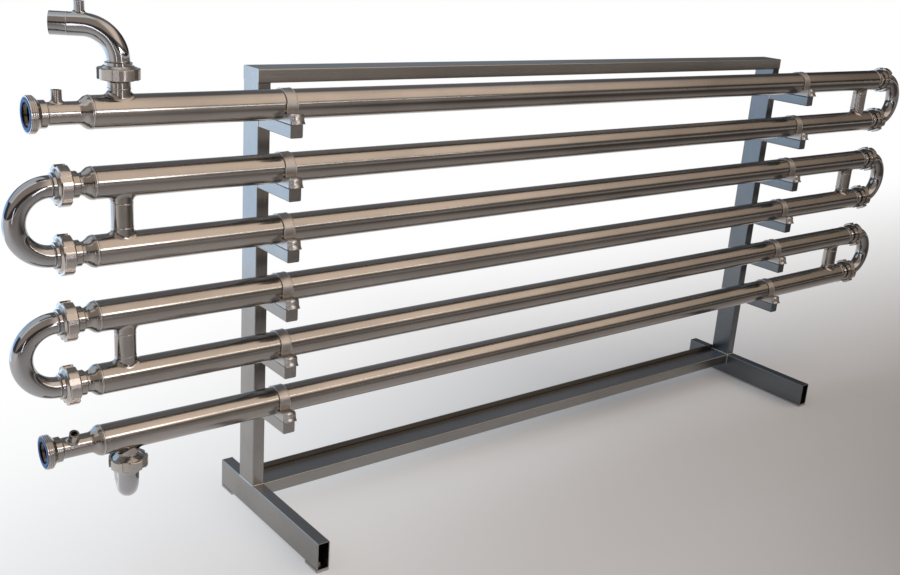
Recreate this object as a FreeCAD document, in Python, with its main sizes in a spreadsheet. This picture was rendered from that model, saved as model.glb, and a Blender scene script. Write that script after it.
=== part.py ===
"""Shell and tube heat exchanger: six horizontal tube modules stacked on a floor stand.

Each module is a shell around a bundle of thin tubes.  Bends with union nuts lead the
product from one module to the next, and short branches lead the service water from
shell to shell.  X runs along the tubes, -Y is the front, +Z is up, in millimetres.
The origin is the centre of the footprint, on the floor.
"""
import FreeCAD, Part
import Sketcher
import math
import os

Vector = FreeCAD.Vector
Rotation = FreeCAD.Rotation
doc = FreeCAD.newDocument("tube_heat_exchanger")

# Driving dimensions, all in millimetres or plain counts
SIZES = {
    "tube_spacing": 128,        # height from one module's axis to the next
    "axis_low": 318,            # height of the lowest module's axis
    "tube_plane": 15,           # how far the modules lie in front of the origin
    "half_shell": 1253,         # half the length of one shell
    "shell_radius": 30.15,
    "shell_wall": 2,
    "pipe_radius": 20.5,
    "pipe_wall": 1.5,
    "end_ring": 6,              # straight lip of the reducer, next to the shell
    "reducer_length": 12,
    "reducer_round": 12,        # radius of the reducer's shoulder and of its root
    "neck_closed": 7,           # plain pipe between reducer and union
    "neck_open": 57.5,          # the same where the module ends in an open port
    "branch_inset": 55.5,       # branches lie this far from the shell's ends
    "branch_collar": 41,        # end of the collar pulled out of the shell, from its axis
    "branch_round": 9.5,        # radius at the collar's foot
    "nozzle_neck_top": 52,      # end of the nozzle's plain pipe, from the shell's axis
    "nozzle_neck_bottom": 43,
    "bevel_length": 3,
    "collar_radius": 24.6,
    "collar_length": 11,
    "taper_length": 8,
    "thread_radius": 32.5,
    "thread_length": 12,
    "recess_radius": 27.5,      # seat of the joint ring in the threaded end
    "recess_depth": 8,
    "seal_thickness": 2,        # part of the joint ring that stands out of its seat
    "flange_radius": 28,
    "flange_edge": 1.5,
    "flange_cone": 4,
    "liner_collar": 7,
    "liner_end": 2.5,
    "nut_radius": 38.2,
    "nut_back": 15,             # how far the nut reaches behind the male face
    "nut_front": 9,             # and how far in front of it
    "nut_nose": 4,
    "nut_nose_base": 32,
    "nut_nose_radius": 27,
    "nut_nose_round": 2.5,
    "nut_chamfer": 1.2,
    "nut_clearance": 0.15,
    "nut_slots": 6,
    "nut_slot_width": 12,
    "nut_slot_depth": 4.5,
    "bend_radius": 64,
    "elbow_radius": 60,
    "elbow_leg": 54,            # straight part at the elbow's free end
    "elbow_swing_top": 28,      # degrees from -X towards the back
    "elbow_swing_bottom": 16.5,  # degrees from the back towards +X
    "boss_radius": 9.5,
    "boss_bore": 6,
    "boss_reach": 41,           # from the pipe's axis to the boss's end
    "boss_flare": 5,            # radius at the boss's foot
    "boss_from_cone": 38.5,     # port boss beyond the reducer
    "elbow_boss_reach": 40,
    "elbow_boss_back": 4,       # elbow boss beyond the end of the bend
    "boss_lean": 30,            # degrees that the lower boss leans to the front
    "inner_radius": 6,
    "inner_wall": 1,
    "inner_pitch": 18,
    "inner_ring": 6,            # inner tubes around the middle one
    "sheet_thickness": 8,
    "fit_gap": 0.1,
    "post_x": 860,
    "post_width": 29,
    "post_depth": 65,
    "post_front": 82,           # from the tubes' plane back to the posts' front
    "frame_wall": 2,
    "frame_corner": 3,          # outer corner radius of the box sections
    "rail_height": 29.5,
    "rail_top": 1016.5,
    "foot_length": 440,
    "foot_height": 65,
    "pad_height": 6,
    "pad_length": 50,
    "beam_height": 31,
    "bar_thickness": 5,
    "bar_height": 34,
    "bar_rise": 12,             # how far the rear bar stands above the beam
    "arm_size": 28,
    "arm_reach": 49,            # from the tubes' plane to the arm's front end
    "saddle_width": 27,
    "saddle_base": 1.5,
    "saddle_front": 47,
    "saddle_ledge": 15,         # ledge below the tube's axis
    "strap_width": 23,
    "strap_tab_width": 27,
    "strap_thickness": 2,
    "strap_foot": 24,
    "screw_radius": 3,
    "screw_head": 5.5,
    "screw_head_height": 4,
    "screw_length": 12,
    "pad_screw_radius": 4,
    "pad_screw_head": 7.5,
    "pad_screw_head_height": 5.5,
    "module_count": 6,
}

sheet = doc.addObject("Spreadsheet::Sheet", "sizes")
for row, (alias, value) in enumerate(SIZES.items(), start=1):
    sheet.set("A%d" % row, alias.replace("_", " "))
    sheet.set("B%d" % row, str(value))
    sheet.setAlias("B%d" % row, alias)
doc.recompute()


def size(alias):
    """Value of one cell of the sheet."""
    return float(sheet.get(alias))


def amount(formula):
    """Value of a sum such as 'half_shell + 2 * end_ring', read from left to right."""
    total, sign, product, operator = 0.0, 1.0, None, "*"
    for token in formula.split():
        if token in ("+", "-"):
            total += sign * product if product is not None else 0.0
            sign = 1.0 if token == "+" else -1.0
            product = None
        elif token in ("*", "/"):
            operator = token
        else:
            number = size(token) if token in SIZES else float(token)
            if product is None:
                product = number
            elif operator == "*":
                product *= number
            else:
                product /= number
    return total + sign * product


def bound(formula):
    """The same sum as an expression on the sheet's cells."""
    return " ".join("sizes." + token if token in SIZES else token for token in formula.split())


# Sketches and features

def origin_plane(body, role):
    """One of a body's own origin planes."""
    return next(plane for plane in body.Origin.OriginFeatures if plane.Role == role)


def new_sketch(body, name, role="XZ_Plane"):
    sketch = body.newObject("Sketcher::SketchObject", name)
    sketch.AttachmentSupport = (origin_plane(body, role), [""])
    sketch.MapMode = "FlatFace"
    return sketch


def hold_point(sketch, geometry, point, name, across, up):
    """Tie one sketch point to the origin by two driven distances."""
    for kind, letter, formula in (("DistanceX", "x", across), ("DistanceY", "y", up)):
        rule = Sketcher.Constraint(kind, -1, 1, geometry, point, amount(formula))
        index = sketch.addConstraint(rule)
        sketch.renameConstraint(index, name + letter)
        sketch.setExpression("Constraints." + name + letter, bound(formula))


def add_outline(sketch, points, prefix="p"):
    """Closed outline of straight lines through points given as pairs of sums."""
    first = sketch.GeometryCount
    spots = [Vector(amount(across), amount(up), 0) for across, up in points]
    for index, spot in enumerate(spots):
        sketch.addGeometry(Part.LineSegment(spot, spots[(index + 1) % len(spots)]), False)
    for index in range(len(points)):
        after = first + (index + 1) % len(points)
        sketch.addConstraint(Sketcher.Constraint("Coincident", first + index, 2, after, 1))
    for index, (across, up) in enumerate(points):
        hold_point(sketch, first + index, 1, "%s%d" % (prefix, index), across, up)


def add_circle(sketch, across, up, radius, prefix="c"):
    """Full circle with a driven centre and radius."""
    index = sketch.GeometryCount
    centre = Vector(amount(across), amount(up), 0)
    sketch.addGeometry(Part.Circle(centre, Vector(0, 0, 1), amount(radius)), False)
    hold_point(sketch, index, 3, prefix, across, up)
    held = sketch.addConstraint(Sketcher.Constraint("Radius", index, amount(radius)))
    sketch.renameConstraint(held, prefix + "r")
    sketch.setExpression("Constraints." + prefix + "r", bound(radius))


def minus(formula):
    """The same sum with its sign turned round."""
    turned = {"+": "-", "-": "+"}
    return "0 - " + " ".join(turned.get(token, token) for token in formula.split())


def add_rectangle(sketch, half_width, half_height, prefix="o"):
    """Rectangle about the sketch's origin."""
    left, low = minus(half_width), minus(half_height)
    corners = [(left, low), (half_width, low), (half_width, half_height), (left, half_height)]
    add_outline(sketch, corners, prefix)


def pad(body, sketch, name, length, midplane=False, reverse=False):
    feature = body.newObject("PartDesign::Pad", name)
    feature.Profile = sketch
    feature.Length = amount(length)
    feature.setExpression("Length", bound(length))
    feature.SideType = "Symmetric" if midplane else "One side"
    feature.Reversed = reverse
    return feature


def pocket(body, sketch, name, length, reverse=False):
    feature = body.newObject("PartDesign::Pocket", name)
    feature.Profile = sketch
    feature.Length = amount(length)
    feature.setExpression("Length", bound(length))
    feature.Reversed = reverse
    return feature


def revolve(body, sketch, name, axis, angle=360, reverse=False, kind="Revolution"):
    feature = body.newObject("PartDesign::" + kind, name)
    feature.Profile = sketch
    feature.ReferenceAxis = (sketch, [axis])
    feature.Angle = angle
    feature.Reversed = reverse
    return feature


def new_body(label):
    body = doc.addObject("PartDesign::Body", label)
    body.Label = label
    return body


def place(item, across="0", along="0", up="0", rotation=Rotation()):
    """Put an item at driven coordinates, with a fixed turn."""
    item.Placement = FreeCAD.Placement(
        Vector(amount(across), amount(along), amount(up)), rotation
    )
    for letter, formula in (("x", across), ("y", along), ("z", up)):
        item.setExpression("Placement.Base." + letter, bound(formula))


def shape_node(label, shape, across="0", along="0", up="0"):
    """Node whose shape is worked out here from the sheet's sizes."""
    item = doc.addObject("Part::Feature", label)
    item.Label = label
    item.Shape = shape
    place(item, across, along, up)
    return item


def cylinder_feature(body, kind, name, radius, height, across="0", turn=Rotation()):
    """Round feature of a body that stands on the X axis, with driven sizes and place."""
    feature = body.newObject("PartDesign::" + kind, name)
    for key, formula in (("Radius", radius), ("Height", height)):
        setattr(feature, key, amount(formula))
        feature.setExpression(key, bound(formula))
    feature.Placement = FreeCAD.Placement(Vector(amount(across), 0, 0), turn)
    feature.setExpression("Placement.Base.x", bound(across))
    return feature


def fillet_edges(body, feature, name, radius, chosen):
    """Fillet those edges of a feature for which 'chosen' holds."""
    doc.recompute()
    edges = enumerate(feature.Shape.Edges, start=1)
    names = ["Edge%d" % index for index, edge in edges if chosen(edge)]
    fillet = body.newObject("PartDesign::Fillet", name)
    fillet.Base = (feature, names)
    fillet.Radius = amount(radius)
    fillet.setExpression("Radius", bound(radius))
    body.Tip = fillet
    return fillet


def is_ring(edge, across, radius):
    """Whether an edge is the circle of a radius about the X axis at a place along it."""
    curve = edge.Curve
    if curve.TypeId != "Part::GeomCircle" or abs(curve.Radius - radius) > 0.01:
        return False
    return abs(curve.Axis.x) > 0.99 and abs(curve.Center.x - across) < 0.01


def is_foot(edge, radius):
    """Whether an edge is the line where a branch leaves a pipe of a radius about the X axis."""
    if edge.Curve.TypeId in ("Part::GeomLine", "Part::GeomCircle"):
        return False
    middle = edge.valueAt((edge.FirstParameter + edge.LastParameter) / 2)
    return abs(math.hypot(middle.y, middle.z) - radius) < 0.05


TURN_ABOUT_Z = Rotation(Vector(0, 0, 1), 180)
TURN_ABOUT_X = Rotation(Vector(1, 0, 0), 180)
TUBE_Y = "0 - tube_plane"
RIGHT_BRANCH = "half_shell - branch_inset"
LEFT_BRANCH = "branch_inset - half_shell"
COUNT = int(size("module_count"))
parts = []


def axis_height(number):
    """Height of a module's axis; module 1 is the top one."""
    return "axis_low + %d * tube_spacing" % (COUNT - number)


# Outline of the male half of a union, from the pipe out to its threaded face

PIPE_BORE = "pipe_radius - pipe_wall"


def threaded_end(taper):
    """Points along the axis and out from it: taper, thread, face and seat of the joint ring."""
    thread = taper + " + taper_length"
    face = thread + " + thread_length"
    return [
        (thread, "thread_radius"),
        (face, "thread_radius"),
        (face, "recess_radius"),
        (face + " - recess_depth", "recess_radius"),
        (face + " - recess_depth", PIPE_BORE),
    ]


# Outline of the liner half of a union, from its face out to the plain pipe

LINER_SHOULDER = "flange_edge + flange_cone"
LINER_COLLAR = LINER_SHOULDER + " + liner_collar"
LINER_LENGTH = LINER_COLLAR + " + liner_end"


def add_liner(sketch, centre, prefix="l"):
    """Half section of a liner; its face lies LINER_LENGTH from the sketch's origin."""
    inside = centre + " + " + PIPE_BORE
    end = LINER_LENGTH
    points = [
        ("0", inside),
        (end, inside),
        (end, centre + " + flange_radius"),
        (end + " - flange_edge", centre + " + flange_radius"),
        (end + " - flange_edge - flange_cone", centre + " + collar_radius"),
        (end + " - flange_edge - flange_cone - liner_collar", centre + " + collar_radius"),
        ("liner_end / 2", centre + " + pipe_radius"),
        ("0", centre + " + pipe_radius"),
    ]
    add_outline(sketch, points, prefix)


# Shells: one tube each, with a collar pulled out near either end on opposite sides

def shell(number):
    body = new_body("shell_%d" % number)
    section = new_sketch(body, "shell_section", "YZ_Plane")
    add_circle(section, "0", "0", "shell_radius")
    pad(body, section, "shell_tube", "2 * half_shell", midplane=True)
    branches = (("left", LEFT_BRANCH, Rotation()), ("right", RIGHT_BRANCH, TURN_ABOUT_X))
    for name, side, turn in branches:
        collar = cylinder_feature(
            body, "AdditiveCylinder", "collar_" + name, "pipe_radius", "branch_collar", side, turn
        )
    radius = size("shell_radius")
    fillet_edges(body, collar, "collar_feet", "branch_round", lambda edge: is_foot(edge, radius))
    inside = new_sketch(body, "bore_section", "YZ_Plane")
    add_circle(inside, "0", "0", "shell_radius - shell_wall")
    hollow = pocket(body, inside, "shell_bore", "2 * half_shell")
    hollow.SideType = "Symmetric"
    for name, side, turn in branches:
        bore = cylinder_feature(
            body, "SubtractiveCylinder", "branch_" + name, PIPE_BORE, "branch_collar", side, turn
        )
        body.Tip = bore
    turn = Rotation() if number % 2 else TURN_ABOUT_X
    place(body, "0", TUBE_Y, axis_height(number), turn)
    return body


# Tube bundles: seven thin tubes held in a tube sheet at either end

def tube_bundle(number):
    body = new_body("tube_bundle_%d" % number)
    disc = new_sketch(body, "sheet_circle", "YZ_Plane")
    add_circle(disc, "0", "0", "shell_radius - shell_wall - fit_gap", "s")
    pad(body, disc, "tube_sheet", "sheet_thickness")
    core = new_sketch(body, "middle_tube_circle", "YZ_Plane")
    add_circle(core, "0", "0", "inner_radius", "m")
    pad(body, core, "middle_tube", "2 * half_shell")
    outer = new_sketch(body, "outer_tube_circle", "YZ_Plane")
    add_circle(outer, "0", "inner_pitch", "inner_radius", "t")
    tube = pad(body, outer, "outer_tube", "2 * half_shell")
    ring = body.newObject("PartDesign::PolarPattern", "tube_ring")
    ring.Originals = [tube]
    ring.Axis = (outer, ["N_Axis"])
    ring.Angle = 360
    ring.Occurrences = int(size("inner_ring"))
    body.Tip = ring
    far = new_sketch(body, "far_sheet_circle", "YZ_Plane")
    far.AttachmentOffset = FreeCAD.Placement(
        Vector(0, 0, amount("2 * half_shell - sheet_thickness")), Rotation()
    )
    far.setExpression("AttachmentOffset.Base.z", bound("2 * half_shell - sheet_thickness"))
    add_circle(far, "0", "0", "shell_radius - shell_wall - fit_gap", "f")
    pad(body, far, "far_tube_sheet", "sheet_thickness")
    bore = new_sketch(body, "middle_bore_circle", "YZ_Plane")
    add_circle(bore, "0", "0", "inner_radius - inner_wall", "n")
    pocket(body, bore, "middle_bore", "2 * half_shell", reverse=True)
    side_bore = new_sketch(body, "outer_bore_circle", "YZ_Plane")
    add_circle(side_bore, "0", "inner_pitch", "inner_radius - inner_wall", "u")
    one_bore = pocket(body, side_bore, "outer_bore", "2 * half_shell", reverse=True)
    bores = body.newObject("PartDesign::PolarPattern", "bore_ring")
    bores.Originals = [one_bore]
    bores.Axis = (side_bore, ["N_Axis"])
    bores.Angle = 360
    bores.Occurrences = int(size("inner_ring"))
    body.Tip = bores
    place(body, "0 - half_shell", TUBE_Y, axis_height(number))
    return body


# Headers: reducer, neck and male union half at the end of each shell

def header(number, right_end):
    open_port = not right_end and number in (1, COUNT)
    body = new_body("header_%s_%d" % ("right" if right_end else "left", number))
    lip = "half_shell + end_ring"
    cone = lip + " + reducer_length"
    neck = cone + (" + neck_open" if open_port else " + neck_closed")
    collar = neck + " + bevel_length"
    taper = collar + " + collar_length"
    points = [
        ("half_shell", "shell_radius - shell_wall"),
        ("half_shell", "shell_radius"),
        (lip, "shell_radius"),
        (cone, "pipe_radius"),
        (neck, "pipe_radius"),
        (collar, "collar_radius"),
        (taper, "collar_radius"),
    ]
    points += threaded_end(taper)
    points += [(cone, PIPE_BORE), (lip, "shell_radius - shell_wall")]
    section = new_sketch(body, "header_section")
    add_outline(section, points)
    turned = revolve(body, section, "header_turned", "H_Axis")
    rings = [(amount(lip), size("shell_radius")), (amount(cone), size("pipe_radius"))]
    fillet_edges(
        body, turned, "reducer_curves", "reducer_round",
        lambda edge: any(is_ring(edge, across, radius) for across, radius in rings),
    )
    if open_port:
        lean = -size("boss_lean") if number == COUNT else 0
        add_boss(body, cone + " + boss_from_cone", lean)
    turn = Rotation() if right_end else TURN_ABOUT_Z
    place(body, "0", TUBE_Y, axis_height(number), turn)
    return body


def add_boss(body, across, lean):
    """Small round boss on a port's neck, whose bores are cut after it."""
    turn = Rotation(Vector(1, 0, 0), lean)
    boss = cylinder_feature(
        body, "AdditiveCylinder", "boss", "boss_radius", "boss_reach", across, turn
    )
    radius = size("pipe_radius")
    fillet_edges(body, boss, "boss_foot", "boss_flare", lambda edge: is_foot(edge, radius))
    cylinder_feature(
        body, "SubtractiveCylinder", "boss_bore", "boss_bore", "boss_reach", across, turn
    )
    body.Tip = cylinder_feature(
        body, "SubtractiveCylinder", "neck_bore", PIPE_BORE, "2 * boss_radius",
        across + " - boss_radius", Rotation(Vector(0, 1, 0), 90),
    )


# Bends and elbows, each with liners that the union nuts draw up

def return_bend(label, upper, right_end):
    """Half-circle bend from module 'upper' to the one below it."""
    body = new_body(label)
    ring = new_sketch(body, "pipe_section", "YZ_Plane")
    add_circle(ring, "0", "tube_spacing / 2", "pipe_radius", "o")
    add_circle(ring, "0", "tube_spacing / 2", "pipe_radius - pipe_wall", "i")
    revolve(body, ring, "half_turn", "H_Axis", 180, reverse=True)
    for name, sign in (("upper", ""), ("lower", "0 - ")):
        section = new_sketch(body, name + "_liner_section")
        add_liner(section, "tube_spacing / 2", "l")
        centre = Part.LineSegment(Vector(0, 0, 0), Vector(size("bend_radius"), 0, 0))
        index = section.addGeometry(centre, True)
        hold_point(section, index, 1, "a", "0", "tube_spacing / 2")
        hold_point(section, index, 2, "z", "bend_radius", "tube_spacing / 2")
        if sign:
            section.AttachmentOffset = FreeCAD.Placement(
                Vector(0, 0, 0), Rotation(Vector(1, 0, 0), 180)
            )
        liner = revolve(body, section, name + "_liner", "Axis0")
        body.Tip = liner
    cone_end = "half_shell + end_ring + reducer_length + neck_closed"
    face = cone_end + " + bevel_length + collar_length + taper_length + thread_length"
    start = face + " + seal_thickness + " + LINER_LENGTH
    middle = "axis_low + %d * tube_spacing - tube_spacing / 2" % (COUNT - upper)
    if right_end:
        place(body, start, TUBE_Y, middle, TURN_ABOUT_Z)
    else:
        place(body, minus(start), TUBE_Y, middle)
    return body


def elbow(label, with_boss):
    """Quarter bend that stands on its liner; its free end points to -X."""
    body = new_body(label)
    ring = new_sketch(body, "pipe_section", "XY_Plane")
    add_circle(ring, "elbow_radius", "0", "pipe_radius")
    revolve(body, ring, "quarter_turn", "V_Axis", 90, reverse=True)
    leg = new_sketch(body, "leg_section", "YZ_Plane")
    add_circle(leg, "0", "elbow_radius", "pipe_radius")
    pad(body, leg, "free_leg", "elbow_leg", reverse=True)
    liner = new_sketch(body, "liner_section")
    add_standing_liner(liner)
    revolve(body, liner, "liner", "Axis0")
    if with_boss:
        boss_section = leg_sketch(body, "boss_section", "boss_radius")
        boss = pad(body, boss_section, "boss", "elbow_boss_reach")
        straight = ("Part::GeomLine", "Part::GeomCircle")
        fillet_edges(
            body, boss, "boss_foot", "boss_flare",
            lambda edge: edge.Curve.TypeId not in straight,
        )
        bore_section = leg_sketch(body, "boss_bore_section", "boss_bore")
        pocket(body, bore_section, "boss_bore", "elbow_boss_reach", reverse=True)
    bore = new_sketch(body, "bore_section", "XY_Plane")
    add_circle(bore, "elbow_radius", "0", PIPE_BORE)
    revolve(body, bore, "turned_bore", "V_Axis", 90, reverse=True, kind="Groove")
    leg_bore = new_sketch(body, "leg_bore_section", "YZ_Plane")
    add_circle(leg_bore, "0", "elbow_radius", PIPE_BORE)
    body.Tip = pocket(body, leg_bore, "leg_bore", "elbow_leg")
    return body


def leg_sketch(body, name, radius):
    """Sketch level with the free leg's axis, with the circle of the leg's boss."""
    sketch = new_sketch(body, name, "XY_Plane")
    sketch.AttachmentOffset = FreeCAD.Placement(Vector(0, 0, size("elbow_radius")), Rotation())
    sketch.setExpression("AttachmentOffset.Base.z", bound("elbow_radius"))
    add_circle(sketch, "0 - elbow_boss_back", "0", radius)
    return sketch


def add_standing_liner(sketch):
    """Liner section for an upright pipe at the elbow's radius from the sketch's origin."""
    shape = [
        ("elbow_radius + " + PIPE_BORE, "0"),
        ("elbow_radius + " + PIPE_BORE, minus(LINER_LENGTH)),
        ("elbow_radius + flange_radius", minus(LINER_LENGTH)),
        ("elbow_radius + flange_radius", "0 - flange_cone - liner_collar - liner_end"),
        ("elbow_radius + collar_radius", "0 - liner_collar - liner_end"),
        ("elbow_radius + collar_radius", "0 - liner_end"),
        ("elbow_radius + pipe_radius", "0 - liner_end / 2"),
        ("elbow_radius + pipe_radius", "0"),
    ]
    add_outline(sketch, shape, "l")
    centre = Part.LineSegment(Vector(0, 0, 0), Vector(0, size("elbow_radius"), 0))
    index = sketch.addGeometry(centre, True)
    hold_point(sketch, index, 1, "a", "elbow_radius", "0")
    hold_point(sketch, index, 2, "z", "elbow_radius", "elbow_radius")


# Branches between two shells and nozzles at the ends of the service path

def jumper(upper):
    """Short pipe between the collars of two shells."""
    label = "jumper_%d_%d" % (upper, upper + 1)
    outer = doc.addObject("Part::Cylinder", label + "_outside")
    inner = doc.addObject("Part::Cylinder", label + "_inside")
    length = "tube_spacing - 2 * branch_collar"
    for item, radius in ((outer, "pipe_radius"), (inner, PIPE_BORE)):
        for key, formula in (("Radius", radius), ("Height", length)):
            setattr(item, key, amount(formula))
            item.setExpression(key, bound(formula))
    pipe = cut(label, outer, inner)
    side = LEFT_BRANCH if upper % 2 == 0 else RIGHT_BRANCH
    place(pipe, side, TUBE_Y, axis_height(upper + 1) + " + branch_collar")
    return pipe


def cut(label, base, tool):
    result = doc.addObject("Part::Cut", label)
    result.Label = label
    result.Base = base
    result.Tool = tool
    return result


def nozzle(label, number, neck, turn):
    """Pipe on the outer collar of an end module, with a male union half."""
    body = new_body(label)
    points = [("branch_collar", PIPE_BORE), ("branch_collar", "pipe_radius")]
    points += [(neck, "pipe_radius")] + threaded_end(neck)
    section = new_sketch(body, "nozzle_section")
    add_outline(section, [(out, along) for along, out in points])
    revolve(body, section, "nozzle_turned", "V_Axis")
    place(body, LEFT_BRANCH, TUBE_Y, axis_height(number), turn)
    return body


# Union nuts: round nuts with slots for a hook spanner and a coned nose

def nut_form():
    """One nut along +X; x = 0 is the face of the male half that it draws on."""
    body = new_body("nut_form")
    thread = "thread_radius + nut_clearance"
    seat = "seal_thickness + flange_edge"
    points = [
        ("0 - nut_back", thread),
        ("0 - nut_back", "nut_radius - nut_chamfer"),
        ("nut_chamfer - nut_back", "nut_radius"),
        ("nut_front - nut_nose - nut_chamfer", "nut_radius"),
        ("nut_front - nut_nose", "nut_radius - nut_chamfer"),
        ("nut_front - nut_nose", "nut_nose_base"),
        ("nut_front", "nut_nose_radius"),
        ("nut_front", "collar_radius + nut_clearance"),
        (seat + " + flange_cone", "collar_radius + nut_clearance"),
        (seat, "flange_radius + nut_clearance"),
        (seat, thread),
    ]
    section = new_sketch(body, "nut_section")
    add_outline(section, points)
    turned = revolve(body, section, "nut_turned", "H_Axis")
    root = amount("nut_front - nut_nose")
    base = size("nut_nose_base")
    fillet_edges(
        body, turned, "nose_root", "nut_nose_round", lambda edge: is_ring(edge, root, base)
    )
    slot = new_sketch(body, "slot_section", "YZ_Plane")
    half = "nut_slot_width / 2"
    low = "nut_radius - nut_slot_depth"
    high = "nut_radius + nut_slot_depth"
    add_outline(slot, [("0 - " + half, low), (half, low), (half, high), ("0 - " + half, high)])
    start = "0 - nut_back - nut_chamfer"
    slot.AttachmentOffset = FreeCAD.Placement(Vector(0, 0, amount(start)), Rotation())
    slot.setExpression("AttachmentOffset.Base.z", bound(start))
    length = "nut_back + nut_chamfer + nut_front - nut_nose"
    groove = pocket(body, slot, "slot", length, reverse=True)
    pattern = body.newObject("PartDesign::PolarPattern", "slots")
    pattern.Originals = [groove]
    pattern.Axis = (slot, ["N_Axis"])
    pattern.Angle = 360
    pattern.Occurrences = int(size("nut_slots"))
    body.Tip = pattern
    return body


def seal_form():
    """Joint ring in its seat, along +X; x = 0 is the face of the male half."""
    length = amount("recess_depth + seal_thickness")
    bore = Part.makeCylinder(amount(PIPE_BORE), length)
    ring = Part.makeCylinder(amount("recess_radius - fit_gap"), length).cut(bore)
    ring.translate(Vector(0, 0, -size("recess_depth")))
    ring.rotate(Vector(0, 0, 0), Vector(0, 1, 0), 90)
    return ring


def union_places(right_end):
    """Where the unions of one end lie: point on the male face and way out."""
    closed = amount("half_shell + end_ring + reducer_length + neck_closed")
    face = closed + amount("bevel_length + collar_length + taper_length + thread_length")
    depth = -size("tube_plane")
    found = []
    for number in range(1, COUNT + 1):
        if right_end or 1 < number < COUNT:
            way = Rotation() if right_end else TURN_ABOUT_Z
            side = face if right_end else -face
            found.append((Vector(side, depth, amount(axis_height(number))), way))
    if not right_end:
        side = amount(LEFT_BRANCH)
        top = amount(axis_height(1) + " + nozzle_neck_top + taper_length + thread_length")
        low = amount(axis_height(COUNT) + " - nozzle_neck_bottom - taper_length - thread_length")
        found.append((Vector(side, depth, top), Rotation(Vector(0, 1, 0), -90)))
        found.append((Vector(side, depth, low), Rotation(Vector(0, 1, 0), 90)))
    return found


def copies(form, places):
    """Separate solids of one form at the given places."""
    made = []
    for point, way in places:
        one = form.copy()
        one.Placement = FreeCAD.Placement(point, way).multiply(one.Placement)
        made.append(one)
    return Part.makeCompound(made)


# Stand: welded box sections

ARM_TOP = "shell_radius + saddle_base"      # below the tube's axis
SCREW_Y = "shell_radius + strap_foot / 2 + strap_thickness"
FOOT_TOP = "pad_height + foot_height"


def round_long_edges(body, feature, way):
    """Fillet the outer edges of a box section that run along its length."""
    doc.recompute()
    reach = feature.Shape.BoundBox
    halves = (reach.XLength / 2, reach.YLength / 2, reach.ZLength / 2)

    def on_corner(edge):
        run = edge.Vertexes[-1].Point - edge.Vertexes[0].Point
        away = edge.CenterOfMass - reach.Center
        sides = [
            abs(abs(away[axis]) - half) < 0.01 for axis, half in enumerate(halves) if not way[axis]
        ]
        return all(sides) and run.cross(way).Length < 0.01

    fillet_edges(body, feature, "rounded_edges", "frame_corner", on_corner)


def box_section(label, plane, way, half_width, half_height, length, midplane=False):
    """Hollow rectangular tube with rounded edges, drawn out of a plane along 'way'."""
    body = new_body(label)
    section = new_sketch(body, "section", plane)
    add_rectangle(section, half_width, half_height, "o")
    add_rectangle(section, half_width + " - frame_wall", half_height + " - frame_wall", "i")
    round_long_edges(body, pad(body, section, "tube", length, midplane), way)
    return body


def post(label, side):
    height = "rail_top - rail_height - pad_height - foot_height"
    half_width, half_depth = "post_width / 2", "post_depth / 2"
    body = box_section(label, "XY_Plane", Vector(0, 0, 1), half_width, half_depth, height)
    place(body, side, "post_front + post_depth / 2 - tube_plane", FOOT_TOP)
    return body


def foot(label, side):
    """Tall narrow box section along Y, open at both ends, with screw holes below."""
    half_width, half_height = "post_width / 2", "foot_height / 2"
    way = Vector(0, 1, 0)
    body = box_section(label, "XZ_Plane", way, half_width, half_height, "foot_length", True)
    hole = new_sketch(body, "screw_holes", "XY_Plane")
    reach = "foot_length / 2 - pad_length / 2"
    add_circle(hole, "0", reach, "pad_screw_radius + fit_gap", "r")
    add_circle(hole, "0", minus(reach), "pad_screw_radius + fit_gap", "f")
    body.Tip = pocket(body, hole, "holes", "foot_height")
    place(body, side, "0", "pad_height + foot_height / 2")
    return body


def top_rail():
    """Box section across both posts, closed at its ends."""
    body = new_body("top_rail")
    section = new_sketch(body, "section", "YZ_Plane")
    add_rectangle(section, "post_depth / 2", "rail_height / 2")
    bar = pad(body, section, "bar", "2 * post_x + post_width", midplane=True)
    round_long_edges(body, bar, Vector(1, 0, 0))
    inside = new_sketch(body, "inside", "YZ_Plane")
    add_rectangle(inside, "post_depth / 2 - frame_wall", "rail_height / 2 - frame_wall")
    hollow = pocket(body, inside, "hollow", "2 * post_x + post_width - 2 * frame_wall")
    hollow.SideType = "Symmetric"
    body.Tip = hollow
    place(body, "0", "post_front + post_depth / 2 - tube_plane", "rail_top - rail_height / 2")
    return body


def base_beam():
    """Flat box section between the feet, level with their tops."""
    length = "2 * post_x - post_width"
    half_depth, half_height = "post_depth / 2", "beam_height / 2"
    way = Vector(1, 0, 0)
    body = box_section("base_beam", "YZ_Plane", way, half_depth, half_height, length, True)
    height = FOOT_TOP + " - beam_height / 2"
    place(body, "0", "post_front + post_depth / 2 - tube_plane", height)
    return body


def rear_bar():
    """Flat bar on the beam's back that stands up a little above it."""
    bar = doc.addObject("Part::Box", "rear_bar")
    bar.Label = "rear_bar"
    for name, formula in (
        ("Length", "2 * post_x - post_width"),
        ("Width", "bar_thickness"),
        ("Height", "bar_height"),
    ):
        setattr(bar, name, amount(formula))
        bar.setExpression(name, bound(formula))
    depth = "post_front + post_depth - tube_plane"
    place(bar, "post_width / 2 - post_x", depth, FOOT_TOP + " + bar_rise - bar_height")
    return bar


# Arms, saddles and straps: one form each, repeated for every module on both posts

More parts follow.
